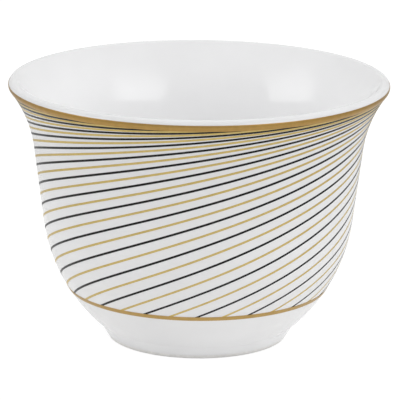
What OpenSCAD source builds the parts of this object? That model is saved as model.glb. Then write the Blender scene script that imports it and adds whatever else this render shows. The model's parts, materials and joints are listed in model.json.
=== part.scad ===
// Arabic coffee cup: a small handleless porcelain cup with a round belly, a flared rim and a
// foot ring, banded in gold and wound with fine gold and black stripes in turn.
// Millimetres, +Z up. The origin is the middle of the foot, on the surface that it stands on.
// Angles round the cup start at the front, -Y, and grow towards +X.

/* [Cup] */
// Outside diameter across the lip
rim_d = 74; // [64:0.5:84]
// Overall height
cup_h = 51.6; // [44:0.2:60]
// Outside diameter where the round belly runs into the straight wall
belly_d = 60.5; // [52:0.5:68]
// Height where the round belly runs into the straight wall
belly_h = 23.7; // [21:0.1:27]
// Lean of the straight wall from upright, in degrees
wall_lean = 7.2; // [5:0.1:9]
// Height of the flared rim, measured down from the top
flare_h = 13.4; // [11:0.1:16]
// Thickness of the wall
wall_t = 2.4; // [2:0.1:3.2]
// Thickness of the rounded lip
lip_t = 2.1; // [1.6:0.1:2.6]
// Thickness of the floor over the hollow of the foot
floor_t = 3.4; // [2.6:0.1:4.4]
// Radius of the hollow corner between the floor and the wall inside
floor_corner_r = 12; // [8:0.5:16]

/* [Foot] */
// Outside diameter of the foot ring
foot_d = 35.4; // [30:0.2:41]
// Height of the foot ring, up to where it would meet the belly in a sharp corner
foot_h = 2.7; // [2.2:0.1:3.4]
// Diameter where the foot ring would meet the belly in a sharp corner
neck_d = 38; // [32:0.2:45]
// Radius of the round that softens that corner
neck_r = 2; // [1:0.1:3]
// Radius of the rounded edges of the foot ring
foot_edge_r = 0.65; // [0.4:0.05:0.8]
// Width of the flat bare ring that the cup stands on
seat_w = 1.4; // [1:0.1:2]
// Depth of the hollow under the cup
recess_h = 2; // [1.6:0.1:2.6]
// Radius of the corner inside that hollow
recess_r = 1; // [0.6:0.1:1.2]

/* [Glaze] */
// Thickness of the fired glaze
glaze_t = 0.2; // [0.1:0.02:0.3]
// Height above the table at which the glaze ends on both sides of the foot ring
glaze_edge_h = 0.8; // [0.6:0.05:0.95]

/* [Gold bands] */
// Thickness of the fired gold
gold_t = 0.06; // [0.03:0.01:0.12]
// How far the rim band reaches over the widest edge of the lip
rim_band_over = 0.23; // [0.1:0.01:0.6]
// How far the rim band reaches down the flare, below the round of the lip
rim_band_drop = 0.42; // [0.1:0.02:1.2]
// Height of the middle of the lower gold line
foot_line_h = 10.44; // [8:0.1:13]
// Width of the lower gold line
foot_line_w = 0.95; // [0.5:0.05:1.6]

/* [Stripes] */
// Number of stripes of each colour
stripe_pairs = 16; // [10:1:20]
// Width of a black stripe low on the wall
black_w = 0.42; // [0.2:0.01:0.5]
// Width of a gold stripe low on the wall
gold_w = 0.42; // [0.2:0.01:0.5]
// How much wider a stripe is up at the rim band, as a share of its width
stripe_swell = 0.2; // [0:0.05:0.4]
// Thickness of a fired stripe
stripe_t = 0.08; // [0.04:0.01:0.15]
// Turn round the cup from the lower gold line to the crest of a stripe, in degrees
stripe_turn = 321; // [240:1:340]
// Rise of that crest, which the rim band hides, above the lower edge of the band
stripe_crest = 0.65; // [0.3:0.05:1]
// Gap between the end of a stripe and the gold that it runs up to
stripe_gap = 0.02; // [0.01:0.01:0.05]

/* [Hidden] */
// Share of the room between two stripes that each half of a stripe may fill where they crowd
crowd_share = 0.48;
// How late a stripe swells: the power of the share of its climb that is done
swell_power = 4;
// Share of its half width by which a stripe's middle runs past the rim band's edge at the tip
tip_share = 0.6;
// Turn from one cross-section of a stripe to the next, in degrees
stripe_step = 6;
// Segments of a full circle
round_fn = 96;
// Segments of one arc of the cup's outline, and of a short one
arc_n = 16;
short_arc_n = 6;
// Share of its wall that a round on the foot may take up
round_share = 0.9;
// Degrees in a radian
radian = 180 / PI;

// Unit vectors out of the straight wall and up along it
wall_out = [cos(wall_lean), -sin(wall_lean)];
wall_up = [sin(wall_lean), cos(wall_lean)];

// Ends of the straight wall on the outside
belly_top = [belly_d / 2, belly_h];
flare_foot = belly_top + wall_up * (cup_h - flare_h - belly_h) / cos(wall_lean);

// The lip is a full round
lip_r = lip_t / 2;
lip_c = [rim_d / 2 - lip_r, cup_h - lip_r];

// Outer flare: touches the straight wall and the round of the lip. Its radius is negative where
// the rim is narrower than the wall, which then closes in
to_lip = lip_c - flare_foot;
flare_r = (to_lip * to_lip - lip_r * lip_r) / (2 * (to_lip * wall_out + lip_r));
flare_c = flare_foot + wall_out * flare_r;

// Inner flare: the same on the inside of the wall
inner_flare_foot = flare_foot - wall_out * wall_t;
to_inner_lip = lip_c - inner_flare_foot;
inner_flare_r = (to_inner_lip * to_inner_lip - lip_r * lip_r)
    / (2 * (to_inner_lip * wall_out - lip_r));
inner_flare_c = inner_flare_foot + wall_out * inner_flare_r;

// Belly: touches the straight wall and runs down to the corner above the foot
neck = [neck_d / 2, foot_h];
from_neck = belly_top - neck;
belly_r = from_neck * from_neck / (2 * (from_neck * wall_out));
belly_c = belly_top - wall_out * belly_r;
inner_belly_r = belly_r - wall_t;

// Side of the foot: from the round of its edge up to the corner at the neck
edge_r = min(foot_edge_r, round_share * glaze_edge_h);
foot_edge_c = [foot_d / 2 - edge_r, edge_r];
to_neck = neck - foot_edge_c;
foot_lean = atan2(to_neck.x, to_neck.y) - asin(edge_r / norm(to_neck));
foot_out = [cos(foot_lean), -sin(foot_lean)];
foot_up = [sin(foot_lean), cos(foot_lean)];

// Where the glaze ends on the outside of the foot: on its edge's round if that reaches so high
side_foot = foot_edge_c + foot_out * edge_r;
edge_top = side_foot.y < glaze_edge_h ? -foot_lean : asin(glaze_edge_h / edge_r - 1);

// Round at the neck: touches the side of the foot and the belly. Its radius is negative where
// the corner stands out instead of in
neck_bend = -angle_of(neck - belly_c) - foot_lean;
neck_side = (neck.y - max(side_foot.y, glaze_edge_h)) / foot_up.y;
neck_fit = round_share * neck_side / tan(abs(neck_bend) / 2);
neck_round = sign(neck_bend) * min(neck_r, neck_fit);
neck_off = (foot_edge_c - belly_c) * foot_out + edge_r + neck_round;
neck_fall = sign(neck_bend) * sqrt((belly_r + neck_round) ^ 2 - neck_off ^ 2);
neck_c = belly_c + foot_out * neck_off - foot_up * neck_fall;

// Floor inside, and the hollow corner that touches it and the inside of the belly
floor_z = recess_h + floor_t;
corner_z = floor_z + floor_corner_r;
corner_x = belly_c.x + sqrt((inner_belly_r - floor_corner_r) ^ 2 - (corner_z - belly_c.y) ^ 2);
corner_c = [corner_x, corner_z];

// Flat ring that the cup stands on
seat_outer = foot_edge_c.x;
seat_inner = seat_outer - seat_w;
recess_side = seat_inner - edge_r;
recess_round = min(recess_r, round_share * (recess_h - glaze_edge_h));
recess_c = [recess_side - recess_round, recess_h - recess_round];

// Angles at which the arcs of the outline meet, each seen from the middle of its arc
neck_to_foot = 180 - foot_lean;
neck_to_belly = angle_of(belly_c - neck_c);
belly_low = angle_of(neck_c - belly_c);
flare_low = 180 - wall_lean;
flare_high = full_angle_of((lip_c - flare_c) * sign(flare_r));
lip_low = angle_of((flare_c - lip_c) * sign(flare_r));
lip_in = full_angle_of((lip_c - inner_flare_c) * sign(inner_flare_r));
corner_high = angle_of(corner_c - belly_c);

// Angles at the edges of the gold
line_middle = asin((foot_line_h - belly_c.y) / belly_r);
line_half = foot_line_w / 2 / belly_r * radian;
line_low = line_middle - line_half;
line_high = line_middle + line_half;
band_low = flare_high + rim_band_drop / flare_r * radian;
band_high = max(lip_low, 0) + rim_band_over / lip_r * radian;

// Way up the wall from the lower gold line to the rim band, as its three stretches
belly_way = (-wall_lean - line_high) / radian * belly_r;
wall_way = norm(flare_foot - belly_top);
flare_way = (flare_low - band_low) / radian * flare_r;
stripe_start = stripe_gap;
stripe_end = belly_way + wall_way + flare_way - stripe_gap;
crest_way = stripe_end + stripe_crest;

// Room that a flat facet of a stripe needs over the round wall
widest_r = max(rim_d / 2, flare_r < 0 ? flare_c.x - flare_r : flare_foot.x);
facet_room = widest_r * (1 - cos(stripe_step / 2));
stripe_pitch = 360 / stripe_pairs;

function stripe_name(colour, i) = str(colour, "_stripe_", i < 10 ? "0" : "", i);

function angle_of(v) = atan2(v.y, v.x);
function full_angle_of(v) = (angle_of(v) + 360) % 360;

function reversed(list) = [for (i = [len(list) - 1:-1:0]) list[i]];

function on_circle(c, r, a) = c + r * [cos(a), sin(a)];

// Arc from angle a to angle b, its last point left to the next piece of the outline
function arc(c, r, a, b, n) = [for (i = [0:n - 1]) on_circle(c, r, a + (b - a) * i / n)];

// Outside of the foot from the glaze's edge up to the neck, d deep in the wall
function foot_side(d) =
    let (base = foot_edge_c + foot_out * (edge_r - d))
    side_foot.y < glaze_edge_h
        ? [base + foot_up * (glaze_edge_h - base.y) / foot_up.y]
        : concat(arc(foot_edge_c, edge_r - d, edge_top, -foot_lean, short_arc_n), [base]);

// Outside of the wall under the lower gold line, along it and above it
function under_line(d) = concat(
    arc(neck_c, neck_round + d, neck_to_foot, neck_to_belly, short_arc_n),
    arc(belly_c, belly_r - d, belly_low, line_low, arc_n)
);
function along_line(d) = arc(belly_c, belly_r - d, line_low, line_high, short_arc_n);
function above_line(d) = concat(
    arc(belly_c, belly_r - d, line_high, -wall_lean, arc_n),
    [belly_top - wall_out * d],
    arc(flare_c, flare_r + d, flare_low, band_low, arc_n)
);

// Outside of the rim under the gold band, from its lower to its upper edge
function along_band(d) = concat(
    arc(flare_c, flare_r + d, band_low, flare_high, short_arc_n),
    arc(lip_c, lip_r - d, lip_low, band_high, short_arc_n)
);

// Lip above the band, then the inside down to the middle of the floor
function inside(d) = concat(
    arc(lip_c, lip_r - d, band_high, lip_in, arc_n),
    arc(inner_flare_c, inner_flare_r - d, lip_in, flare_low, arc_n),
    [inner_flare_foot + wall_out * d],
    arc(belly_c, inner_belly_r + d, -wall_lean, corner_high, arc_n),
    arc(corner_c, floor_corner_r + d, corner_high, -90, arc_n),
    [[corner_c.x, floor_z - d], [0, floor_z - d]]
);

// Whole outline from the glaze's edge on the foot to the middle of the floor, d deep in the wall
function outline(d) = concat(
    foot_side(d), under_line(d), along_line(d), above_line(d), along_band(d), inside(d)
);

// Hollow under the cup, from its middle to the glaze's edge on the foot ring, d deep in the base
function recess(d) = concat(
    [[0, recess_h + d]],
    reversed(arc(recess_c, recess_round + d, 0, 90, short_arc_n)),
    [[recess_side + d, glaze_edge_h]]
);

// Bare bottom of the foot ring, from inside to outside
function bare_foot() = concat(
    [[recess_side, glaze_edge_h]],
    arc([seat_inner, edge_r], edge_r, 180, 270, short_arc_n),
    [[seat_inner, 0]],
    arc(foot_edge_c, edge_r, -90, edge_top, short_arc_n),
    side_foot.y < glaze_edge_h ? [side_foot] : [],
    foot_side(0)
);

// Point of the wall's section at a given way up from the lower gold line, lifted off the glaze
function wall_point(way, lift) =
    way < belly_way
        ? on_circle(belly_c, belly_r + lift, line_high + way / belly_r * radian)
        : way < belly_way + wall_way
            ? belly_top + wall_up * (way - belly_way) + wall_out * lift
            : on_circle(flare_c, flare_r - lift,
                flare_low - (way - belly_way - wall_way) / flare_r * radian);

// The same point at an angle round the cup
function round_point(way, turn, lift) =
    let (p = wall_point(way, lift))
    [p.x * sin(turn), -p.x * cos(turn), p.y];

// A stripe climbs as a parabola: its drop below the crest is the square of the turn still to go
function way_at(turn) = crest_way * (1 - (1 - turn / stripe_turn) ^ 2);
function turn_at(way) = stripe_turn * (1 - sqrt(1 - way / crest_way));

// Climb for each degree of turn, its angle to the level, and half the stripe's width there
function climb_at(turn) = 2 * crest_way * (1 - turn / stripe_turn) / stripe_turn;
function slope_at(turn) = atan2(climb_at(turn), wall_point(way_at(turn), 0).x / radian);
function half_at(turn, w) =
    let (swell = 1 + stripe_swell * (way_at(turn) / crest_way) ^ swell_power)
    let (room = stripe_pitch / 2 * climb_at(turn) * cos(slope_at(turn)))
    min(w / 2 * swell, crowd_share * room);

// Four corners of a cross-section between its upper and lower edge, given as [way, turn]
function section(upper, lower) = [
    round_point(upper[0], upper[1], facet_room),
    round_point(lower[0], lower[1], facet_room),
    round_point(lower[0], lower[1], facet_room + stripe_t),
    round_point(upper[0], upper[1], facet_room + stripe_t)
];

// Cross-section along the stripe, kept under the rim band
function stripe_section(turn, w) =
    let (slope = slope_at(turn))
    let (half = half_at(turn, w))
    let (way = way_at(turn))
    let (side = half * sin(slope) / wall_point(way, 0).x * radian)
    section(
        [min(way + half * cos(slope), stripe_end), turn - side],
        [way - half * cos(slope), turn + side]
    );

// First cross-section, cut level along the lower gold line
function stripe_root(w) =
    let (turn = turn_at(stripe_start))
    let (side = w / 2 / sin(slope_at(turn)) / wall_point(stripe_start, 0).x * radian)
    section([stripe_start, turn - side], [stripe_start, turn + side]);

// One stripe, swept up the wall
module stripe(w) {
    tip_way = stripe_end + tip_share * half_at(turn_at(stripe_end), w);
    tip_turn = turn_at(tip_way);
    steps = ceil(tip_turn / stripe_step);
    rings = concat(
        [stripe_root(w)],
        [for (i = [1:steps]) stripe_section(tip_turn * i / steps, w)]
    );
    last = 4 * steps;
    sides = [
        for (i = [0:steps - 1], k = [0:3])
            let (a = 4 * i + k)
            let (b = 4 * i + (k + 1) % 4)
            each [[a, b, b + 4], [a, b + 4, a + 4]]
    ];
    ends = [[0, 2, 1], [0, 3, 2], [last, last + 1, last + 2], [last, last + 2, last + 3]];
    polyhedron([for (ring = rings) each ring], concat(sides, ends));
}

// Thin gold ring on the glaze, over one stretch of the outline
module gold_ring(skin, inner_skin) {
    rotate_extrude($fn = round_fn)
        polygon(concat(inner_skin, reversed(skin)));
}

// Fired porcelain: bowl, floor and foot ring in one piece, bare on the ring that it stands on
module porcelain_body() {
    color("ghostwhite")
        rotate_extrude($fn = round_fn)
            polygon(concat(recess(glaze_t), bare_foot(), outline(glaze_t)));
}

// Clear glaze over the outside, the lip and the inside, in one coat
module glaze_coat() {
    color("white")
        rotate_extrude($fn = round_fn)
            polygon(concat(outline(0), reversed(outline(glaze_t))));
}

// Clear glaze in the hollow under the cup, cut off from the rest by the bare ring
module base_glaze() {
    color("white")
        rotate_extrude($fn = round_fn)
            polygon(concat(recess(0), reversed(recess(glaze_t))));
}

// Gold band round the rim
module rim_gold_band() {
    edge = [on_circle(lip_c, lip_r, band_high)];
    skin_edge = [on_circle(lip_c, lip_r + gold_t, band_high)];
    color("darkgoldenrod")
        gold_ring(concat(along_band(-gold_t), skin_edge), concat(along_band(0), edge));
}

// Gold line above the foot
module foot_gold_line() {
    edge = [on_circle(belly_c, belly_r, line_high)];
    skin_edge = [on_circle(belly_c, belly_r + gold_t, line_high)];
    color("darkgoldenrod")
        gold_ring(concat(along_line(-gold_t), skin_edge), concat(along_line(0), edge));
}

// Black stripe number i
module black_stripe(i) {
    color("black")
        rotate([0, 0, (i - 1) * stripe_pitch])
            stripe(black_w);
}

// Gold stripe number i, midway between two black ones
module gold_stripe(i) {
    color("darkgoldenrod")
        rotate([0, 0, (i - 0.5) * stripe_pitch])
            stripe(gold_w);
}

porcelain_body();
glaze_coat();
base_glaze();
rim_gold_band();
foot_gold_line();
for (i = [1:stripe_pairs])
    black_stripe(i);
for (i = [1:stripe_pairs])
    gold_stripe(i);
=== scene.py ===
"""Arabic coffee cup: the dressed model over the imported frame, laid out as an add-on."""

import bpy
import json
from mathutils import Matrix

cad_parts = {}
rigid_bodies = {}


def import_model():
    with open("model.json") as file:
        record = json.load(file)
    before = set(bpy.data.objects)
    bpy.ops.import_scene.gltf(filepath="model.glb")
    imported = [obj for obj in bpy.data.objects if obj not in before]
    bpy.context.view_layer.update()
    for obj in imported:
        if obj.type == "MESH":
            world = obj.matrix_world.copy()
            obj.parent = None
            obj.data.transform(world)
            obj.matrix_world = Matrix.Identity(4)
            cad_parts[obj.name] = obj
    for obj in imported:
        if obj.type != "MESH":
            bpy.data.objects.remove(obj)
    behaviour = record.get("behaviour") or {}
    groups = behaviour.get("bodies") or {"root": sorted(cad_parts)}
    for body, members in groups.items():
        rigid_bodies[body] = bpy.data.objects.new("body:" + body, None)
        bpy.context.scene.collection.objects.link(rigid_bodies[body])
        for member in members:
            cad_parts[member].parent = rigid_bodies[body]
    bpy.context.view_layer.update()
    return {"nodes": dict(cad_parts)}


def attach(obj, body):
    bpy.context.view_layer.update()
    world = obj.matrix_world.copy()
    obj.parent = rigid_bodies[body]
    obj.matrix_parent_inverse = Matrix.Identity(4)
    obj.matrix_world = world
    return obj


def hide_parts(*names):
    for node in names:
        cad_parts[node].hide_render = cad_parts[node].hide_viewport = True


bl_info = {
    "name": "Arabic Coffee Cup",
    "version": (1, 0, 0),
    "blender": (4, 5, 0),
    "location": "View3D > Sidebar > Coffee Cup",
    "description": "Builds a small porcelain coffee cup with gold bands and swirling stripes",
    "category": "Object",
}

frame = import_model()

import cmath
import json
import math

import bpy
from bpy.props import FloatProperty, FloatVectorProperty, IntProperty, PointerProperty
from mathutils import Matrix, Vector

BODY = "root"
MM = 0.001

SEGMENTS = 160                  # faces round the cup
ON_AXIS = 1e-9                  # a point this near the axis lies on it
SHARP_EDGE = math.radians(35)   # edges that turn further than this stay sharp


# Properties

def length(name, description, mm):
    """A length that is written in millimetres and kept in metres."""
    return FloatProperty(name=name, description=description, default=mm * MM, min=0.0,
                         subtype="DISTANCE", unit="LENGTH", precision=5)


def angle(name, description, degrees):
    """An angle that is written in degrees."""
    return FloatProperty(name=name, description=description, default=math.radians(degrees),
                         subtype="ANGLE", unit="ROTATION")


def share(name, description, default):
    """A plain number from 0 to 1."""
    return FloatProperty(name=name, description=description, default=default,
                         min=0.0, max=1.0, subtype="FACTOR")


def colour(name, description, default):
    """A linear colour."""
    return FloatVectorProperty(name=name, description=description, default=default,
                               size=3, min=0.0, max=1.0, subtype="COLOR")


def strength(name, description, default):
    """Brightness of a light, where 1 is white."""
    return FloatProperty(name=name, description=description, default=default, min=0.0)


class CupSizes(bpy.types.PropertyGroup):
    """Sizes of the porcelain and its glaze."""
    rim_d: length("Rim", "Outside diameter across the lip", 74)
    cup_h: length("Height", "Overall height", 51.6)
    belly_d: length("Belly", "Outside diameter where the belly runs into the straight wall",
                    60.5)
    belly_h: length("Belly Height", "Height where the belly runs into the straight wall", 23.7)
    wall_lean: angle("Wall Lean", "Lean of the straight wall from upright", 7.2)
    flare_h: length("Flare Height", "Height of the flared rim, measured down from the top",
                    13.4)
    wall_t: length("Wall", "Thickness of the wall", 2.4)
    lip_t: length("Lip", "Thickness of the rounded lip", 2.1)
    floor_t: length("Floor", "Thickness of the floor over the hollow of the foot", 3.4)
    floor_corner_r: length("Floor Corner", "Radius of the corner between floor and wall", 12)
    foot_d: length("Foot", "Outside diameter of the foot ring", 35.4)
    foot_h: length("Foot Height", "Height of the foot ring, up to the neck", 2.7)
    neck_d: length("Neck", "Diameter where the foot ring meets the belly", 38)
    neck_r: length("Neck Round", "Radius of the hollow at the neck", 2)
    foot_edge_r: length("Foot Edge", "Radius of the edges of the foot ring", 0.65)
    seat_w: length("Seat", "Width of the flat bare ring that the cup stands on", 1.4)
    recess_h: length("Hollow", "Depth of the hollow under the cup", 2)
    recess_r: length("Hollow Corner", "Radius of the corner inside that hollow", 1)
    glaze_t: length("Glaze", "Thickness of the fired glaze", 0.2)
    glaze_edge_h: length("Glaze Edge", "Height at which the glaze ends on the foot ring", 0.8)


class GildingSizes(bpy.types.PropertyGroup):
    """Sizes of the gold bands and of the stripes."""
    gold_t: length("Gold", "Thickness of the fired gold", 0.06)
    rim_band_over: length("Band Over", "Reach of the rim band over the edge of the lip", 0.23)
    rim_band_drop: length("Band Drop", "Reach of the rim band down the flare", 0.42)
    foot_line_h: length("Line Height", "Height of the middle of the lower gold line", 10.44)
    foot_line_w: length("Line Width", "Width of the lower gold line", 0.95)
    stripe_pairs: IntProperty(name="Stripes", description="Number of stripes of each colour",
                              default=16, min=1)
    black_w: length("Black Width", "Width of a black stripe low on the wall", 0.42)
    gold_w: length("Gold Width", "Width of a gold stripe low on the wall", 0.42)
    stripe_swell: share("Swell", "How much wider a stripe is up at the rim band", 0.2)
    swell_power: IntProperty(name="Swell Power", description="How late a stripe swells",
                             default=4, min=1)
    stripe_proud: length("Stripe Height", "How far a stripe stands proud of the glaze", 0.02)
    stripe_sunk: length("Stripe Depth", "How deep a stripe sinks into the glaze", 0.02)
    stripe_turn: angle("Stripe Turn", "Turn from the lower gold line to the stripe's crest",
                       321)
    stripe_crest: length("Stripe Crest", "Rise of the crest above the edge of the band", 0.65)
    crowd_share: share("Crowding", "Share of the room that crowded stripes may fill", 0.48)
    tip_share: share("Tip", "Share of its half width by which a tip runs past the band", 0.6)
    stripe_steps: IntProperty(name="Steps", description="Cross-sections along a stripe",
                              default=240, min=8)


class CupFinishes(bpy.types.PropertyGroup):
    """Colours of the cup's materials."""
    glaze: colour("Glaze", "White of the glazed porcelain", (0.92, 0.92, 0.925))
    biscuit: colour("Biscuit", "Bare fired porcelain", (0.86, 0.85, 0.83))
    band_gold: colour("Band Gold", "Thick fired gold of the rim band",
                      (0.44, 0.274, 0.086))
    line_gold: colour("Line Gold", "Thinner fired gold of the lower line",
                      (0.475, 0.312, 0.106))
    stripe_gold: colour("Stripe Gold", "Thinnest fired gold, of the stripes",
                        (0.6, 0.455, 0.165))
    enamel: colour("Enamel", "Black enamel", (0.012, 0.0115, 0.011))


class StageLook(bpy.types.PropertyGroup):
    """Camera, floor and light."""
    lens: FloatProperty(name="Lens", description="Focal length of the camera", default=296.57,
                        subtype="DISTANCE_CAMERA", unit="CAMERA")
    camera_place: FloatVectorProperty(name="Camera", description="Place of the camera",
                                      default=(0.0003659, -0.6251568, 0.1897744),
                                      subtype="TRANSLATION", unit="LENGTH")
    camera_pitch: angle("Pitch", "How far the camera looks down", 14.583)
    camera_roll: angle("Roll", "Turn of the camera round its line of sight", 0.518)
    floor_colour: colour("Floor", "Colour of the floor near the cup", (0.95, 0.95, 0.95))
    floor_far: colour("Far Floor", "Colour with which the floor further off lights the cup",
                      (0.38, 0.38, 0.38))
    floor_near_r: length("Near Floor", "How far the floor keeps its near colour", 75)
    floor_far_r: length("Floor Fade", "How far off the floor has its far colour", 185)
    floor_white: share("Floor White", "How far the floor looks white to the camera", 0.78)
    floor_mirror: share("Floor Mirror", "How far the floor looks white in reflections", 0.4)
    floor_glow: strength("Floor Glow", "Brightness of the floor's white", 1.12)
    sky: strength("Sky", "Strength of the even light", 0.04)
    sky_mirror: share("Backdrop Mirror", "How far the backdrop looks white in reflections",
                      0.72)
    right_window: strength("Right Window",
                           "Brightness of the window on the right at its corner", 2.05)
    left_window: strength("Left Window",
                          "Brightness of the window on the left at its corner", 2.05)
    front_panel: strength("Front Panel", "Brightness of the soft panel above the front", 1.17)
    right_panel: strength("Right Panel", "Brightness of the soft panel on the right", 1.5)
    left_panel: strength("Left Panel", "Brightness of the soft panel on the left", 1.0)
    back_panel: strength("Back Panel", "Brightness of the soft panel above the back", 0.85)


# Outline of the cup

def dot(a, b):
    """Dot product of two points r + iz."""
    return a.real * b.real + a.imag * b.imag


def arc(centre, radius, start, end, count):
    """Points along an arc; the last one is left to the next stretch of the outline."""
    turns = [start + (end - start) * i / count for i in range(count)]
    return [centre + cmath.rect(radius, turn) for turn in turns]


class CupOutline:
    """Half section of the cup by the same sizes and rules as the solids. A point is r + iz."""

    # Steps along each stretch
    ROUND_STEPS = 8
    LOW_BELLY_STEPS = 12
    LINE_STEPS = 4
    BELLY_STEPS = 28
    FLARE_STEPS = 24
    BAND_STEPS = 3
    LIP_STEPS = 20
    INNER_FLARE_STEPS = 20
    INNER_BELLY_STEPS = 24
    FLOOR_CORNER_STEPS = 16
    STRIPE_BELLY_STEPS = 90
    STRIPE_FLARE_STEPS = 60

    def __init__(self, cup, gilding):
        self.lean = cup.wall_lean
        self.out = cmath.rect(1.0, -self.lean)
        self.up = self.out * 1j
        self.belly_top = complex(cup.belly_d / 2, cup.belly_h)
        wall = (cup.cup_h - cup.flare_h - cup.belly_h) / math.cos(self.lean)
        self.flare_foot = self.belly_top + self.up * wall

        self.lip_r = cup.lip_t / 2
        self.lip_c = complex(cup.rim_d / 2 - self.lip_r, cup.cup_h - self.lip_r)
        self.flare_r = self.flare_radius(self.flare_foot, self.lip_r)
        self.flare_c = self.flare_foot + self.out * self.flare_r
        self.inner_foot = self.flare_foot - self.out * cup.wall_t
        self.inner_r = self.flare_radius(self.inner_foot, -self.lip_r)
        self.inner_c = self.inner_foot + self.out * self.inner_r

        neck = complex(cup.neck_d / 2, cup.foot_h)
        from_neck = self.belly_top - neck
        self.belly_r = abs(from_neck) ** 2 / (2 * dot(from_neck, self.out))
        self.belly_c = self.belly_top - self.out * self.belly_r
        self.inner_belly_r = self.belly_r - cup.wall_t

        self.edge_r = cup.foot_edge_r
        self.edge_c = complex(cup.foot_d / 2 - self.edge_r, self.edge_r)
        to_neck = neck - self.edge_c
        self.foot_lean = (math.atan2(to_neck.real, to_neck.imag)
                          - math.asin(self.edge_r / abs(to_neck)))
        self.foot_out = cmath.rect(1.0, -self.foot_lean)
        self.foot_up = self.foot_out * 1j
        self.neck_r = cup.neck_r
        off = dot(self.edge_c - self.belly_c, self.foot_out) + self.edge_r + self.neck_r
        fall = math.sqrt((self.belly_r + self.neck_r) ** 2 - off ** 2)
        self.neck_c = self.belly_c + self.foot_out * off - self.foot_up * fall

        self.floor_z = cup.recess_h + cup.floor_t
        self.corner_r = cup.floor_corner_r
        corner_z = self.floor_z + self.corner_r
        reach = (self.inner_belly_r - self.corner_r) ** 2 - (corner_z - self.belly_c.imag) ** 2
        self.corner_c = complex(self.belly_c.real + math.sqrt(reach), corner_z)
        self.seat_inner = self.edge_c.real - cup.seat_w
        self.recess_side = self.seat_inner - self.edge_r
        self.recess_r = cup.recess_r
        self.recess_h = cup.recess_h
        self.recess_c = complex(self.recess_side - self.recess_r,
                                self.recess_h - self.recess_r)
        self.glaze_edge_h = cup.glaze_edge_h

        middle = math.asin((gilding.foot_line_h - self.belly_c.imag) / self.belly_r)
        half = gilding.foot_line_w / 2 / self.belly_r
        self.line_low = middle - half
        self.line_high = middle + half
        self.flare_low = math.pi - self.lean
        self.flare_high = cmath.phase(self.lip_c - self.flare_c)
        self.band_low = self.flare_high + gilding.rim_band_drop / self.flare_r
        self.band_high = gilding.rim_band_over / self.lip_r
        self.lip_low = cmath.phase(self.flare_c - self.lip_c)
        self.lip_in = cmath.phase(self.lip_c - self.inner_c)

    def flare_radius(self, foot, lip_r):
        """Radius of the flare from its foot on the wall to the round of the lip."""
        to_lip = self.lip_c - foot
        return (abs(to_lip) ** 2 - lip_r ** 2) / (2 * (dot(to_lip, self.out) + lip_r))

    def foot_side(self, d):
        """Edge of the glaze on the outside of the foot, d deep in the wall."""
        base = self.edge_c + self.foot_out * (self.edge_r - d)
        return [base + self.foot_up * (self.glaze_edge_h - base.imag) / self.foot_up.imag]

    def along_line(self, d):
        """Wall under the lower gold line."""
        return arc(self.belly_c, self.belly_r - d, self.line_low, self.line_high,
                   self.LINE_STEPS)

    def above_line(self, d):
        """Wall from the lower gold line up to the rim band."""
        return self.wall(d, self.BELLY_STEPS, self.FLARE_STEPS)

    def wall(self, d, belly_steps, flare_steps):
        """That wall in so many steps along the belly and the flare."""
        return (arc(self.belly_c, self.belly_r - d, self.line_high, -self.lean, belly_steps)
                + [self.belly_top - self.out * d]
                + arc(self.flare_c, self.flare_r + d, self.flare_low, self.band_low,
                      flare_steps))

    def along_band(self, d):
        """Rim under the gold band."""
        return (arc(self.flare_c, self.flare_r + d, self.band_low, self.flare_high,
                    self.BAND_STEPS)
                + arc(self.lip_c, self.lip_r - d, self.lip_low, self.band_high,
                      self.ROUND_STEPS))

    def band_section(self, t):
        """Section of the rim band, t thick."""
        under = self.along_band(0) + [self.lip_c + cmath.rect(self.lip_r, self.band_high)]
        over = self.along_band(-t) + [self.lip_c + cmath.rect(self.lip_r + t, self.band_high)]
        return under + over[::-1]

    def line_section(self, t):
        """Section of the lower gold line, t thick."""
        under = self.along_line(0) + [self.belly_c + cmath.rect(self.belly_r, self.line_high)]
        over = self.along_line(-t)
        over.append(self.belly_c + cmath.rect(self.belly_r + t, self.line_high))
        return under + over[::-1]

    def glazed(self, d):
        """Whole glazed outline, from the foot over the lip to the middle of the floor."""
        belly_low = cmath.phase(self.neck_c - self.belly_c)
        corner_high = cmath.phase(self.corner_c - self.belly_c)
        return (self.foot_side(d)
                + arc(self.neck_c, self.neck_r + d, math.pi - self.foot_lean,
                      cmath.phase(self.belly_c - self.neck_c), self.ROUND_STEPS)
                + arc(self.belly_c, self.belly_r - d, belly_low, self.line_low,
                      self.LOW_BELLY_STEPS)
                + self.along_line(d) + self.above_line(d) + self.along_band(d)
                + arc(self.lip_c, self.lip_r - d, self.band_high, self.lip_in, self.LIP_STEPS)
                + arc(self.inner_c, self.inner_r - d, self.lip_in, self.flare_low,
                      self.INNER_FLARE_STEPS)
                + [self.inner_foot + self.out * d]
                + arc(self.belly_c, self.inner_belly_r + d, -self.lean, corner_high,
                      self.INNER_BELLY_STEPS)
                + arc(self.corner_c, self.corner_r + d, corner_high, -math.pi / 2,
                      self.FLOOR_CORNER_STEPS)
                + [complex(self.corner_c.real, self.floor_z - d),
                   complex(0, self.floor_z - d)])

    def hollow(self, d):
        """Hollow under the cup, from its middle to the edge of its glaze."""
        corner = arc(self.recess_c, self.recess_r + d, 0, math.pi / 2, self.ROUND_STEPS)
        top = self.recess_c + 1j * (self.recess_r + d)
        return ([complex(0, self.recess_h + d), top] + corner[::-1]
                + [complex(self.recess_side + d, self.glaze_edge_h)])

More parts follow.
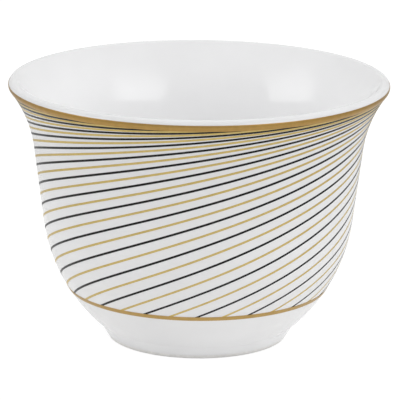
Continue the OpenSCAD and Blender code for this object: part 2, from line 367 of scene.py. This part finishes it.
    def bare_foot(self):
        """Bare bottom of the foot ring, from inside to outside."""
        inner_c = complex(self.seat_inner, self.edge_r)
        return ([complex(self.recess_side, self.glaze_edge_h)]
                + arc(inner_c, self.edge_r, math.pi, 1.5 * math.pi, self.ROUND_STEPS)
                + [complex(self.seat_inner, 0)]
                + arc(self.edge_c, self.edge_r, -math.pi / 2, -self.foot_lean,
                      self.ROUND_STEPS)
                + [self.edge_c + self.foot_out * self.edge_r] + self.foot_side(0))

    def stripe_wall(self, sunk):
        """Wall that the stripes climb, a little under the face of the glaze."""
        end = self.flare_c + cmath.rect(self.flare_r + sunk, self.band_low)
        return self.wall(sunk, self.STRIPE_BELLY_STEPS, self.STRIPE_FLARE_STEPS) + [end]


# Meshes

def finish_mesh(mesh):
    """Smooth faces, with the real edges kept sharp."""
    mesh.validate()
    mesh.polygons.foreach_set("use_smooth", [True] * len(mesh.polygons))
    mesh.set_sharp_from_angle(angle=SHARP_EDGE)
    mesh.update()


def revolve(name, section):
    """Closed mesh of a closed section turned round +Z, faces outwards."""
    sides = zip(section, section[1:] + section[:1])
    if sum(a.real * b.imag - b.real * a.imag for a, b in sides) < 0:
        section = section[::-1]
    verts, rings = [], []
    for p in section:
        if p.real < ON_AXIS:
            rings.append([len(verts)] * SEGMENTS)
            verts.append((0.0, 0.0, p.imag))
        else:
            rings.append(list(range(len(verts), len(verts) + SEGMENTS)))
            for k in range(SEGMENTS):
                turn = 2 * math.pi * k / SEGMENTS
                verts.append((p.real * math.sin(turn), -p.real * math.cos(turn), p.imag))
    faces = []
    for low, high in zip(rings, rings[1:] + rings[:1]):
        if low[0] == low[1] and high[0] == high[1]:
            continue
        for k in range(SEGMENTS):
            n = (k + 1) % SEGMENTS
            corners = dict.fromkeys([low[k], low[n], high[n], high[k]])
            faces.append(tuple(corners))
    mesh = bpy.data.meshes.new(name)
    mesh.from_pydata(verts, [], faces)
    finish_mesh(mesh)
    return mesh


def piece(name, mesh, nodes):
    """Puts a finished mesh in the scene as the piece that stands for these solids."""
    if name in bpy.data.objects:
        bpy.data.objects.remove(bpy.data.objects[name])
    obj = bpy.data.objects.new(name, mesh)
    bpy.context.scene.collection.objects.link(obj)
    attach(obj, BODY)
    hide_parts(*nodes)


def turned_piece(context, name, section, finish, node):
    """A piece of this section, turned round +Z, that stands for one solid."""
    mesh = revolve(name, section)
    mesh.materials.append(finish_for(context, finish))
    piece(name, mesh, [node])


def outline_of(context):
    """Outline from the scene's own sizes."""
    return CupOutline(context.scene.cup_sizes, context.scene.cup_gilding)


# Materials

def add_node(tree, kind, **settings):
    """New node in a tree, with its settings."""
    node = tree.nodes.new(kind)
    for key, value in settings.items():
        setattr(node, key, value)
    return node


def by_identifier(sockets, identifier):
    """One socket among several that share a name."""
    return next(s for s in sockets if s.identifier == identifier)


def mixed_colour(tree, value, first, second):
    """Colour that goes from the first to the second as a value goes from 0 to 1."""
    node = add_node(tree, "ShaderNodeMix", data_type="RGBA")
    by_identifier(node.inputs, "A_Color").default_value = (*first, 1.0)
    by_identifier(node.inputs, "B_Color").default_value = (*second, 1.0)
    tree.links.new(value, by_identifier(node.inputs, "Factor_Float"))
    return by_identifier(node.outputs, "Result_Color")


class Finish:
    """A node material with a few helpers to wire it."""

    # Most of a noise lies between these two values
    NOISE_LOW = 0.3
    NOISE_HIGH = 0.7

    def __init__(self, name):
        self.material = bpy.data.materials.new(name)
        self.material.use_nodes = True
        self.tree = self.material.node_tree
        self.tree.nodes.clear()
        out = self.node("ShaderNodeOutputMaterial")
        self.shader = self.node("ShaderNodeBsdfPrincipled")
        self.link(self.shader.outputs["BSDF"], out.inputs["Surface"])
        self.place = self.node("ShaderNodeTexCoord").outputs["Object"]

    def node(self, kind, **settings):
        return add_node(self.tree, kind, **settings)

    def link(self, source, target):
        self.tree.links.new(source, target)

    def noise(self, cells, detail, grit):
        """Noise with so many cells to the metre."""
        node = self.node("ShaderNodeTexNoise", noise_dimensions="3D")
        node.inputs["Scale"].default_value = cells
        node.inputs["Detail"].default_value = detail
        node.inputs["Roughness"].default_value = grit
        self.link(self.place, node.inputs["Vector"])
        return node.outputs["Fac"]

    def spread(self, value, low, high):
        """Spreads the middle of a noise over a range."""
        node = self.node("ShaderNodeMapRange")
        node.inputs["From Min"].default_value = self.NOISE_LOW
        node.inputs["From Max"].default_value = self.NOISE_HIGH
        node.inputs["To Min"].default_value = low
        node.inputs["To Max"].default_value = high
        self.link(value, node.inputs["Value"])
        return node.outputs["Result"]

    def mottle(self, tone, low, high, cells, detail=3.0, grit=0.5):
        """Colour that varies between two levels of one tone."""
        value = self.spread(self.noise(cells, detail, grit), 0.0, 1.0)
        first = [c * low for c in tone]
        second = [min(1.0, c * high) for c in tone]
        self.link(mixed_colour(self.tree, value, first, second),
                  self.shader.inputs["Base Color"])

    def polish(self, low, high, cells, detail=2.0, grit=0.5):
        """Roughness that varies between two levels."""
        value = self.spread(self.noise(cells, detail, grit), low, high)
        self.link(value, self.shader.inputs["Roughness"])

    def ripple(self, depth, strength, cells, detail=2.0, grit=0.5):
        """Fine waves on the surface, their depth in millimetres."""
        node = self.node("ShaderNodeBump")
        node.inputs["Strength"].default_value = strength
        node.inputs["Distance"].default_value = depth * MM
        self.link(self.noise(cells, detail, grit), node.inputs["Height"])
        self.link(node.outputs["Normal"], self.shader.inputs["Normal"])


def glaze_finish(finishes):
    """White glazed porcelain: glossy, with the faint waves of a fired glaze."""
    finish = Finish("clear_glaze_on_white_porcelain")
    finish.mottle(finishes.glaze, low=0.985, high=1.01, cells=90)
    finish.polish(low=0.08, high=0.14, cells=260)
    finish.ripple(depth=0.03, strength=0.35, cells=170)
    return finish.material


def biscuit_finish(finishes):
    """Bare porcelain: dry, fine grained and a little warm."""
    finish = Finish("biscuit_porcelain")
    finish.mottle(finishes.biscuit, low=0.9, high=1.05, cells=1400, detail=4.0, grit=0.65)
    finish.polish(low=0.68, high=0.86, cells=2600, detail=3.0)
    finish.ripple(depth=0.04, strength=0.4, cells=5200, detail=3.0, grit=0.6)
    return finish.material


def gold_finish(name, tone):
    """Burnished fired gold: soft gloss, with fine mottling from the brush."""
    finish = Finish(name)
    finish.shader.inputs["Metallic"].default_value = 1.0
    finish.mottle(tone, low=0.92, high=1.06, cells=900, grit=0.6)
    finish.polish(low=0.30, high=0.44, cells=2400, detail=3.0)
    finish.ripple(depth=0.02, strength=0.25, cells=3600)
    return finish.material


def enamel_finish(finishes):
    """Black enamel, fired into the glaze: satin, a little uneven."""
    finish = Finish("black_enamel")
    finish.shader.inputs["Specular IOR Level"].default_value = 0.2
    finish.mottle(finishes.enamel, low=0.8, high=1.25, cells=1100)
    finish.polish(low=0.28, high=0.42, cells=2400)
    finish.ripple(depth=0.02, strength=0.25, cells=3000)
    return finish.material


def band_gold_finish(finishes):
    """Gold of the rim band, laid on thick."""
    return gold_finish("burnished_gold_band", finishes.band_gold)


def line_gold_finish(finishes):
    """Gold of the lower line, laid on thinner, so lighter and more yellow."""
    return gold_finish("burnished_gold_line", finishes.line_gold)


def stripe_gold_finish(finishes):
    """Gold of the stripes, the thinnest and palest."""
    return gold_finish("burnished_gold_stripes", finishes.stripe_gold)


MADE = {}


def finish_for(context, maker):
    """The material that a maker makes, made once."""
    if maker not in MADE:
        MADE[maker] = maker(context.scene.cup_finishes)
    return MADE[maker]


# Stripes

class StripeTree:
    """Geometry Nodes that lay one stripe on the wall and repeat it round the cup."""

    SIZES = (
        ("Stripes", "NodeSocketInt"),
        ("Steps", "NodeSocketInt"),
        ("Width", "NodeSocketFloat"),
        ("Turn", "NodeSocketFloat"),
        ("Tip Turn", "NodeSocketFloat"),
        ("First Turn", "NodeSocketFloat"),
        ("Crest", "NodeSocketFloat"),
        ("Swell", "NodeSocketFloat"),
        ("Swell Power", "NodeSocketFloat"),
        ("Crowding", "NodeSocketFloat"),
        ("Thickness", "NodeSocketFloat"),
        ("Material", "NodeSocketMaterial"),
    )
    ROOT = 1e-4     # share of the stripe that counts as its very beginning
    WELD = 1e-6     # corners closer than this become one

    def __init__(self):
        self.tree = bpy.data.node_groups.new("climbing_stripes", "GeometryNodeTree")
        face = self.tree.interface
        self.ids = {}
        face.new_socket("Wall", in_out="INPUT", socket_type="NodeSocketGeometry")
        for name, kind in self.SIZES:
            self.ids[name] = face.new_socket(name, in_out="INPUT", socket_type=kind).identifier
        face.new_socket("Stripes", in_out="OUTPUT", socket_type="NodeSocketGeometry")
        self.given = self.node("NodeGroupInput").outputs
        self.build()

    def node(self, kind, **settings):
        return add_node(self.tree, kind, **settings)

    def feed(self, source, socket):
        """Links a socket or sets a constant."""
        if isinstance(source, (int, float, bool)):
            socket.default_value = source
        else:
            self.tree.links.new(source, socket)

    def math(self, operation, *values):
        """Result of a Math node."""
        node = self.node("ShaderNodeMath", operation=operation)
        for socket, value in zip(node.inputs, values):
            self.feed(value, socket)
        return node.outputs[0]

    def wall_at(self, curve, way):
        """Radius and height of the wall at a way up from the lower gold line."""
        sample = self.node("GeometryNodeSampleCurve", mode="LENGTH", use_all_curves=True)
        self.feed(curve, sample.inputs["Curves"])
        self.feed(way, sample.inputs["Length"])
        split = self.node("ShaderNodeSeparateXYZ")
        self.feed(sample.outputs["Position"], split.inputs[0])
        return split.outputs["X"], split.outputs["Z"]

    def build(self):
        """The nodes from the wall to the painted stripes."""
        m, given = self.math, self.given
        to_curve = self.node("GeometryNodeMeshToCurve")
        self.feed(given["Wall"], to_curve.inputs["Mesh"])
        curve = to_curve.outputs["Curve"]
        measure = self.node("GeometryNodeCurveLength")
        self.feed(curve, measure.inputs["Curve"])
        end = measure.outputs["Length"]
        crest = m("ADD", end, given["Crest"])

        grid = self.node("GeometryNodeMeshGrid")
        grid.inputs["Size X"].default_value = 1.0
        grid.inputs["Size Y"].default_value = 1.0
        self.feed(m("ADD", given["Steps"], 1.0), grid.inputs["Vertices X"])
        grid.inputs["Vertices Y"].default_value = 2
        at = self.node("ShaderNodeSeparateXYZ")
        self.feed(self.node("GeometryNodeInputPosition").outputs[0], at.inputs[0])
        along = m("ADD", at.outputs["X"], 0.5)
        side = m("MULTIPLY", at.outputs["Y"], 2.0)

        # The middle of the stripe climbs as a parabola to its crest
        turn = m("MULTIPLY", along, given["Tip Turn"])
        left = m("SUBTRACT", 1.0, m("DIVIDE", turn, given["Turn"]))
        way = m("MULTIPLY", crest, m("SUBTRACT", 1.0, m("MULTIPLY", left, left)))
        climb = m("DIVIDE", m("MULTIPLY", m("MULTIPLY", crest, 2.0), left), given["Turn"])
        radius, _ = self.wall_at(curve, m("MINIMUM", way, end))
        slope = m("ARCTAN2", climb, radius)
        pitch = m("DIVIDE", 2 * math.pi, given["Stripes"])
        room = m("MULTIPLY", m("MULTIPLY", m("MULTIPLY", given["Crowding"], pitch), 0.5),
                 m("MULTIPLY", climb, m("COSINE", slope)))
        risen = m("POWER", m("DIVIDE", way, crest), given["Swell Power"])
        swell = m("MULTIPLY", given["Swell"], risen)
        full = m("MULTIPLY", m("MULTIPLY", given["Width"], 0.5), m("ADD", 1.0, swell))
        half = m("MULTIPLY", side, m("MINIMUM", full, room))

        # Its edges lie square to it, and its root is cut level along the lower gold line
        edge_way = m("ADD", way, m("MULTIPLY", half, m("COSINE", slope)))
        back = m("DIVIDE", m("MULTIPLY", half, m("SINE", slope)), radius)
        root = m("MAXIMUM", m("LESS_THAN", along, self.ROOT), m("LESS_THAN", edge_way, 0.0))
        cut = m("MULTIPLY", root, m("DIVIDE", edge_way, climb))
        edge_turn = m("SUBTRACT", m("SUBTRACT", turn, back), cut)
        edge_way = m("MULTIPLY", edge_way, m("SUBTRACT", 1.0, root))
        radius, height = self.wall_at(curve, m("MINIMUM", edge_way, end))
        front = m("MULTIPLY", m("COSINE", edge_turn), -1.0)
        place = self.node("ShaderNodeCombineXYZ")
        self.feed(m("MULTIPLY", radius, m("SINE", edge_turn)), place.inputs["X"])
        self.feed(m("MULTIPLY", radius, front), place.inputs["Y"])
        self.feed(height, place.inputs["Z"])
        lay = self.node("GeometryNodeSetPosition")
        self.feed(grid.outputs["Mesh"], lay.inputs["Geometry"])
        self.feed(place.outputs[0], lay.inputs["Position"])

        # A closed ribbon: the raised face with its sides, and the face under it turned over
        raise_ = self.node("GeometryNodeExtrudeMesh", mode="FACES")
        raise_.inputs["Individual"].default_value = False
        self.feed(lay.outputs["Geometry"], raise_.inputs["Mesh"])
        self.feed(given["Thickness"], raise_.inputs["Offset Scale"])
        flip = self.node("GeometryNodeFlipFaces")
        self.feed(lay.outputs["Geometry"], flip.inputs["Mesh"])
        join = self.node("GeometryNodeJoinGeometry")
        self.feed(raise_.outputs["Mesh"], join.inputs["Geometry"])
        self.feed(flip.outputs["Mesh"], join.inputs["Geometry"])
        weld = self.node("GeometryNodeMergeByDistance")
        self.feed(join.outputs["Geometry"], weld.inputs["Geometry"])
        weld.inputs["Distance"].default_value = self.WELD

        # The same stripe all round the cup
        line = self.node("GeometryNodeMeshLine", mode="OFFSET")
        self.feed(given["Stripes"], line.inputs["Count"])
        line.inputs["Offset"].default_value = (0.0, 0.0, 0.0)
        spin = self.node("ShaderNodeCombineXYZ")
        index = self.node("GeometryNodeInputIndex").outputs[0]
        self.feed(m("ADD", m("MULTIPLY", index, pitch), given["First Turn"]), spin.inputs["Z"])
        repeat = self.node("GeometryNodeInstanceOnPoints")
        self.feed(line.outputs["Mesh"], repeat.inputs["Points"])
        self.feed(weld.outputs["Geometry"], repeat.inputs["Instance"])
        self.feed(spin.outputs[0], repeat.inputs["Rotation"])
        real = self.node("GeometryNodeRealizeInstances")
        self.feed(repeat.outputs["Instances"], real.inputs["Geometry"])
        paint = self.node("GeometryNodeSetMaterial")
        self.feed(real.outputs["Geometry"], paint.inputs["Geometry"])
        self.feed(given["Material"], paint.inputs["Material"])
        self.feed(paint.outputs["Geometry"], self.node("NodeGroupOutput").inputs[0])


def tip_turn(outline, gilding, width):
    """Turn at which a stripe ends, a little past the edge of the rim band."""
    wall = outline.stripe_wall(gilding.stripe_sunk)
    end = sum(abs(b - a) for a, b in zip(wall, wall[1:]))
    crest = end + gilding.stripe_crest
    left = math.sqrt(1 - end / crest)
    climb = 2 * crest * left / gilding.stripe_turn
    slope = math.atan2(climb, wall[-1].real)
    room = gilding.crowd_share * math.pi / gilding.stripe_pairs * climb * math.cos(slope)
    swell = 1 + gilding.stripe_swell * (end / crest) ** gilding.swell_power
    way = end + gilding.tip_share * min(width / 2 * swell, room)
    return gilding.stripe_turn * (1 - math.sqrt(1 - way / crest))


def nodes_named(start):
    """CAD nodes whose names start this way, in order."""
    return sorted(name for name in frame["nodes"] if name.startswith(start))


def lay_stripes(context, name, finish, width, first_share, nodes):
    """Makes all the stripes of one colour as one plain mesh. The first one stands a share of
    the pitch round from the front."""
    gilding = context.scene.cup_gilding
    outline = outline_of(context)
    wall = outline.stripe_wall(gilding.stripe_sunk)
    chain = bpy.data.meshes.new(name + "_wall")
    chain.from_pydata([(p.real, 0.0, p.imag) for p in wall],
                      [(i, i + 1) for i in range(len(wall) - 1)], [])
    carrier = bpy.data.objects.new(name + "_wall", chain)
    context.scene.collection.objects.link(carrier)
    stripes = StripeTree()
    values = {
        "Stripes": gilding.stripe_pairs,
        "Steps": gilding.stripe_steps,
        "Width": width,
        "Turn": gilding.stripe_turn,
        "Tip Turn": tip_turn(outline, gilding, width),
        "First Turn": first_share * 2 * math.pi / gilding.stripe_pairs,
        "Crest": gilding.stripe_crest,
        "Swell": gilding.stripe_swell,
        "Swell Power": float(gilding.swell_power),
        "Crowding": gilding.crowd_share,
        "Thickness": gilding.stripe_sunk + gilding.stripe_proud,
        "Material": finish_for(context, finish),
    }
    modifier = carrier.modifiers.new("Stripes", "NODES")
    modifier.node_group = stripes.tree
    for key, value in values.items():
        modifier[stripes.ids[key]] = value
    context.view_layer.update()
    graph = context.evaluated_depsgraph_get()
    mesh = bpy.data.meshes.new_from_object(carrier.evaluated_get(graph), depsgraph=graph)
    mesh.name = name
    carrier.modifiers.remove(modifier)
    bpy.data.objects.remove(carrier)
    bpy.data.meshes.remove(chain)
    bpy.data.node_groups.remove(stripes.tree)
    if len(mesh.polygons) == 0:
        raise RuntimeError("no stripes were made")
    finish_mesh(mesh)
    piece(name, mesh, nodes)


# Operators

class CUP_OT_porcelain(bpy.types.Operator):
    """Makes the fired porcelain: bowl, floor and foot ring"""
    bl_idname = "coffee_cup.porcelain"
    bl_label = "Porcelain Body"

    def execute(self, context):
        line = outline_of(context)
        t = context.scene.cup_sizes.glaze_t
        section = line.hollow(t) + line.bare_foot() + line.glazed(t)
        turned_piece(context, "porcelain", section, biscuit_finish,
                     "porcelain_body")
        return {"FINISHED"}


class CUP_OT_glaze(bpy.types.Operator):
    """Makes the glaze over the outside, the lip and the inside"""
    bl_idname = "coffee_cup.glaze"
    bl_label = "Glaze"

    def execute(self, context):
        line = outline_of(context)
        t = context.scene.cup_sizes.glaze_t
        section = line.glazed(0) + line.glazed(t)[::-1]
        turned_piece(context, "glaze", section, glaze_finish, "glaze_coat")
        return {"FINISHED"}


class CUP_OT_hollow_glaze(bpy.types.Operator):
    """Makes the glaze in the hollow under the cup"""
    bl_idname = "coffee_cup.hollow_glaze"
    bl_label = "Glaze Under the Foot"

    def execute(self, context):
        line = outline_of(context)
        t = context.scene.cup_sizes.glaze_t
        section = line.hollow(0) + line.hollow(t)[::-1]
        turned_piece(context, "hollow_glaze", section, glaze_finish,
                     "base_glaze")
        return {"FINISHED"}


class CUP_OT_gold_bands(bpy.types.Operator):
    """Makes the gold band under the lip and the gold line above the foot"""
    bl_idname = "coffee_cup.gold_bands"
    bl_label = "Gold Bands"

    def execute(self, context):
        line = outline_of(context)
        t = context.scene.cup_gilding.gold_t
        turned_piece(context, "rim_band", line.band_section(t), band_gold_finish,
                     "rim_gold_band")
        turned_piece(context, "foot_line", line.line_section(t), line_gold_finish,
                     "foot_gold_line")
        return {"FINISHED"}


class CUP_OT_stripes(bpy.types.Operator):
    """Lays the black and the gold stripes on the wall"""
    bl_idname = "coffee_cup.stripes"
    bl_label = "Stripes"

    def execute(self, context):
        gilding = context.scene.cup_gilding
        lay_stripes(context, "black_stripes", enamel_finish, gilding.black_w,
                    first_share=0.0, nodes=nodes_named("black_stripe_"))
        lay_stripes(context, "gold_stripes", stripe_gold_finish,
                    gilding.gold_w, first_share=0.5, nodes=nodes_named("gold_stripe_"))
        return {"FINISHED"}


class CUP_OT_stage(bpy.types.Operator):
    """Sets up the floor, the light and the camera"""
    bl_idname = "coffee_cup.stage"
    bl_label = "Stage"

    SENSOR_WIDTH = 36.0     # millimetres
    NEAR_CLIP = 0.01
    FLOOR_HALF = 1.5        # half the side of the floor
    AIM_HEIGHT = 0.04       # height on the cup that the lamps point at

    # Turn from the front and rise in degrees, distance, width and height, side that is dark
    WINDOWS = {
        "right_window": (51.5, 25.0, 1.0, (0.87, 0.70), 1.0),
        "left_window": (-78.0, 25.0, 1.0, (0.81, 0.70), 0.0),
    }
    SIDE_FADE = 0.35        # share of a window's width over which its dark side fades
    TOP_FADE = 0.65         # share of its height over which it fades towards the top

    # Turn, rise, distance, width and height
    PANELS = {
        "front_panel": (0.0, 50.0, 1.2, (2.2, 1.2)),
        "right_panel": (100.0, 30.0, 1.1, (0.9, 0.9)),
        "left_panel": (-100.0, 30.0, 1.1, (0.9, 0.9)),
        "back_panel": (180.0, 40.0, 1.1, (2.4, 1.2)),
    }

    def execute(self, context):
        scene = context.scene
        look = scene.cup_stage
        scene.view_settings.view_transform = "Standard"
        self.camera(scene, look)
        self.floor(scene, look)
        self.sky(scene, look)
        self.lamps(scene, look)
        return {"FINISHED"}

    def camera(self, scene, look):
        lens = bpy.data.cameras.new("camera")
        lens.lens = look.lens
        lens.sensor_width = self.SENSOR_WIDTH
        lens.clip_start = self.NEAR_CLIP
        camera = bpy.data.objects.new("camera", lens)
        turn = Matrix.Rotation(math.pi / 2 - look.camera_pitch, 4, "X")
        roll = Matrix.Rotation(look.camera_roll, 4, "Z")
        camera.matrix_world = Matrix.Translation(look.camera_place) @ turn @ roll
        scene.collection.objects.link(camera)
        scene.camera = camera

    def seen(self, tree, direct, mirrored):
        """How white the background is to the camera, and in reflections and through glass."""
        rays = add_node(tree, "ShaderNodeLightPath").outputs
        levels = {"Is Camera Ray": direct, "Is Glossy Ray": mirrored,
                  "Is Transmission Ray": mirrored}
        total = None
        for name, level in levels.items():
            node = add_node(tree, "ShaderNodeMath", operation="MULTIPLY_ADD")
            tree.links.new(rays[name], node.inputs[0])
            node.inputs[1].default_value = level
            node.inputs[2].default_value = 0.0
            if total is not None:
                tree.links.new(total, node.inputs[2])
            total = node.outputs[0]
        return total

    def mixed(self, tree, value, lit, white, out):
        """Surface that goes from lit to white as a value goes from 0 to 1."""
        mix = add_node(tree, "ShaderNodeMixShader")
        tree.links.new(value, mix.inputs["Fac"])
        tree.links.new(lit.outputs[0], mix.inputs[1])
        tree.links.new(white.outputs[0], mix.inputs[2])
        tree.links.new(mix.outputs[0], add_node(tree, out).inputs["Surface"])

    def floor(self, scene, look):
        half = self.FLOOR_HALF
        mesh = bpy.data.meshes.new("floor")
        corners = [(-half, -half, 0), (half, -half, 0), (half, half, 0), (-half, half, 0)]
        mesh.from_pydata(corners, [], [(0, 1, 2, 3)])
        floor = bpy.data.objects.new("floor", mesh)
        scene.collection.objects.link(floor)
        material = bpy.data.materials.new("pale_floor")
        material.use_nodes = True
        tree = material.node_tree
        tree.nodes.clear()
        lit = add_node(tree, "ShaderNodeBsdfDiffuse")
        tree.links.new(self.floor_fade(tree, look), lit.inputs["Color"])
        white = add_node(tree, "ShaderNodeEmission")
        white.inputs["Strength"].default_value = look.floor_glow
        self.mixed(tree, self.seen(tree, look.floor_white, look.floor_mirror), lit, white,
                   "ShaderNodeOutputMaterial")
        mesh.materials.append(material)

    def floor_fade(self, tree, look):
        """Colour of the floor: even to the camera, but further off it lights the cup less."""
        away = add_node(tree, "ShaderNodeVectorMath", operation="LENGTH")
        place = add_node(tree, "ShaderNodeTexCoord").outputs["Object"]
        tree.links.new(place, away.inputs[0])
        bounced = add_node(tree, "ShaderNodeMath", operation="SUBTRACT")
        bounced.inputs[0].default_value = 1.0
        rays = add_node(tree, "ShaderNodeLightPath").outputs
        tree.links.new(rays["Is Camera Ray"], bounced.inputs[1])
        fade = add_node(tree, "ShaderNodeMapRange", interpolation_type="SMOOTHSTEP")
        fade.inputs["From Min"].default_value = look.floor_near_r
        fade.inputs["From Max"].default_value = look.floor_far_r
        tree.links.new(away.outputs["Value"], fade.inputs["Value"])
        tree.links.new(bounced.outputs[0], fade.inputs["To Max"])
        return mixed_colour(tree, fade.outputs["Result"], look.floor_colour, look.floor_far)

    def sky(self, scene, look):
        world = bpy.data.worlds.new("studio")
        world.use_nodes = True
        tree = world.node_tree
        tree.nodes.clear()
        lit = add_node(tree, "ShaderNodeBackground")
        lit.inputs["Strength"].default_value = look.sky
        white = add_node(tree, "ShaderNodeBackground")
        for node in (lit, white):
            node.inputs["Color"].default_value = (1.0, 1.0, 1.0, 1.0)
        self.mixed(tree, self.seen(tree, 1.0, look.sky_mirror), lit, white,
                   "ShaderNodeOutputWorld")
        scene.world = world

    def lamps(self, scene, look):
        """Two windows, whose reflections show inside the bowl, and four soft panels."""
        for name, (*place, dark_side) in self.WINDOWS.items():
            window = self.lamp(scene, name, getattr(look, name), *place)
            self.grade(window.data, dark_side)
        for name, place in self.PANELS.items():
            panel = self.lamp(scene, name, getattr(look, name), *place)
            panel.visible_glossy = False

    def lamp(self, scene, name, level, turn, rise, distance, size):
        """Area lamp that points at the cup from this turn, rise and distance."""
        turn, rise = math.radians(turn), math.radians(rise)
        level_way = Vector((math.sin(turn), -math.cos(turn), 0.0)) * math.cos(rise)
        way = level_way + Vector((0.0, 0.0, math.sin(rise)))
        light = bpy.data.lights.new(name, "AREA")
        light.shape = "RECTANGLE"
        light.size, light.size_y = size
        light.energy = level * math.pi * size[0] * size[1]
        lamp = bpy.data.objects.new(name, light)
        place = Vector((0.0, 0.0, self.AIM_HEIGHT)) + way * distance
        aim = (-way).to_track_quat("-Z", "Y").to_matrix().to_4x4()
        lamp.matrix_world = Matrix.Translation(place) @ aim
        lamp.visible_camera = False
        scene.collection.objects.link(lamp)
        return lamp

    def grade(self, light, dark_side):
        """Fades a window out from its lower corner to its dark side and its top."""
        light.use_nodes = True
        tree = light.node_tree
        tree.nodes.clear()
        spot = add_node(tree, "ShaderNodeNewGeometry").outputs["Parametric"]
        place = add_node(tree, "ShaderNodeSeparateXYZ")
        tree.links.new(spot, place.inputs[0])
        both = add_node(tree, "ShaderNodeMath", operation="MULTIPLY")
        fades = (("X", dark_side, abs(dark_side - self.SIDE_FADE)),
                 ("Y", 1.0, 1.0 - self.TOP_FADE))
        for (axis, dark, bright), target in zip(fades, both.inputs):
            fade = add_node(tree, "ShaderNodeMapRange", interpolation_type="SMOOTHSTEP")
            fade.inputs["From Min"].default_value = dark
            fade.inputs["From Max"].default_value = bright
            tree.links.new(place.outputs[axis], fade.inputs["Value"])
            tree.links.new(fade.outputs["Result"], target)
        glow = add_node(tree, "ShaderNodeEmission")
        tree.links.new(both.outputs[0], glow.inputs["Strength"])
        out = add_node(tree, "ShaderNodeOutputLight")
        tree.links.new(glow.outputs[0], out.inputs["Surface"])


class CUP_PT_panel(bpy.types.Panel):
    """Sizes, finishes and makers of the coffee cup"""
    bl_label = "Coffee Cup"
    bl_idname = "CUP_PT_panel"
    bl_space_type = "VIEW_3D"
    bl_region_type = "UI"
    bl_category = "Coffee Cup"

    def draw(self, context):
        scene = context.scene
        for title, group in (("Cup", scene.cup_sizes), ("Gilding", scene.cup_gilding),
                             ("Finishes", scene.cup_finishes), ("Stage", scene.cup_stage)):
            box = self.layout.box()
            box.label(text=title)
            for key in group.bl_rna.properties.keys():
                if key not in {"rna_type", "name"}:
                    box.prop(group, key)
        for operator in OPERATORS:
            self.layout.operator(operator.bl_idname)


GROUPS = {
    "cup_sizes": CupSizes,
    "cup_gilding": GildingSizes,
    "cup_finishes": CupFinishes,
    "cup_stage": StageLook,
}
OPERATORS = (CUP_OT_porcelain, CUP_OT_glaze, CUP_OT_hollow_glaze, CUP_OT_gold_bands,
             CUP_OT_stripes, CUP_OT_stage)


def register():
    """Registers the classes and hangs their sizes on the scene."""
    for cls in (*GROUPS.values(), *OPERATORS, CUP_PT_panel):
        bpy.utils.register_class(cls)
    for name, group in GROUPS.items():
        setattr(bpy.types.Scene, name, PointerProperty(type=group))


def unregister():
    """Takes them off again."""
    for name in GROUPS:
        delattr(bpy.types.Scene, name)
    for cls in (CUP_PT_panel, *reversed(OPERATORS), *reversed(GROUPS.values())):
        bpy.utils.unregister_class(cls)


def main():
    """Makes the whole cup."""
    register()
    bpy.ops.coffee_cup.stage()
    bpy.ops.coffee_cup.porcelain()
    bpy.ops.coffee_cup.glaze()
    bpy.ops.coffee_cup.hollow_glaze()
    bpy.ops.coffee_cup.gold_bands()
    bpy.ops.coffee_cup.stripes()
    bpy.context.view_layer.update()


if __name__ == "__main__":
    main()
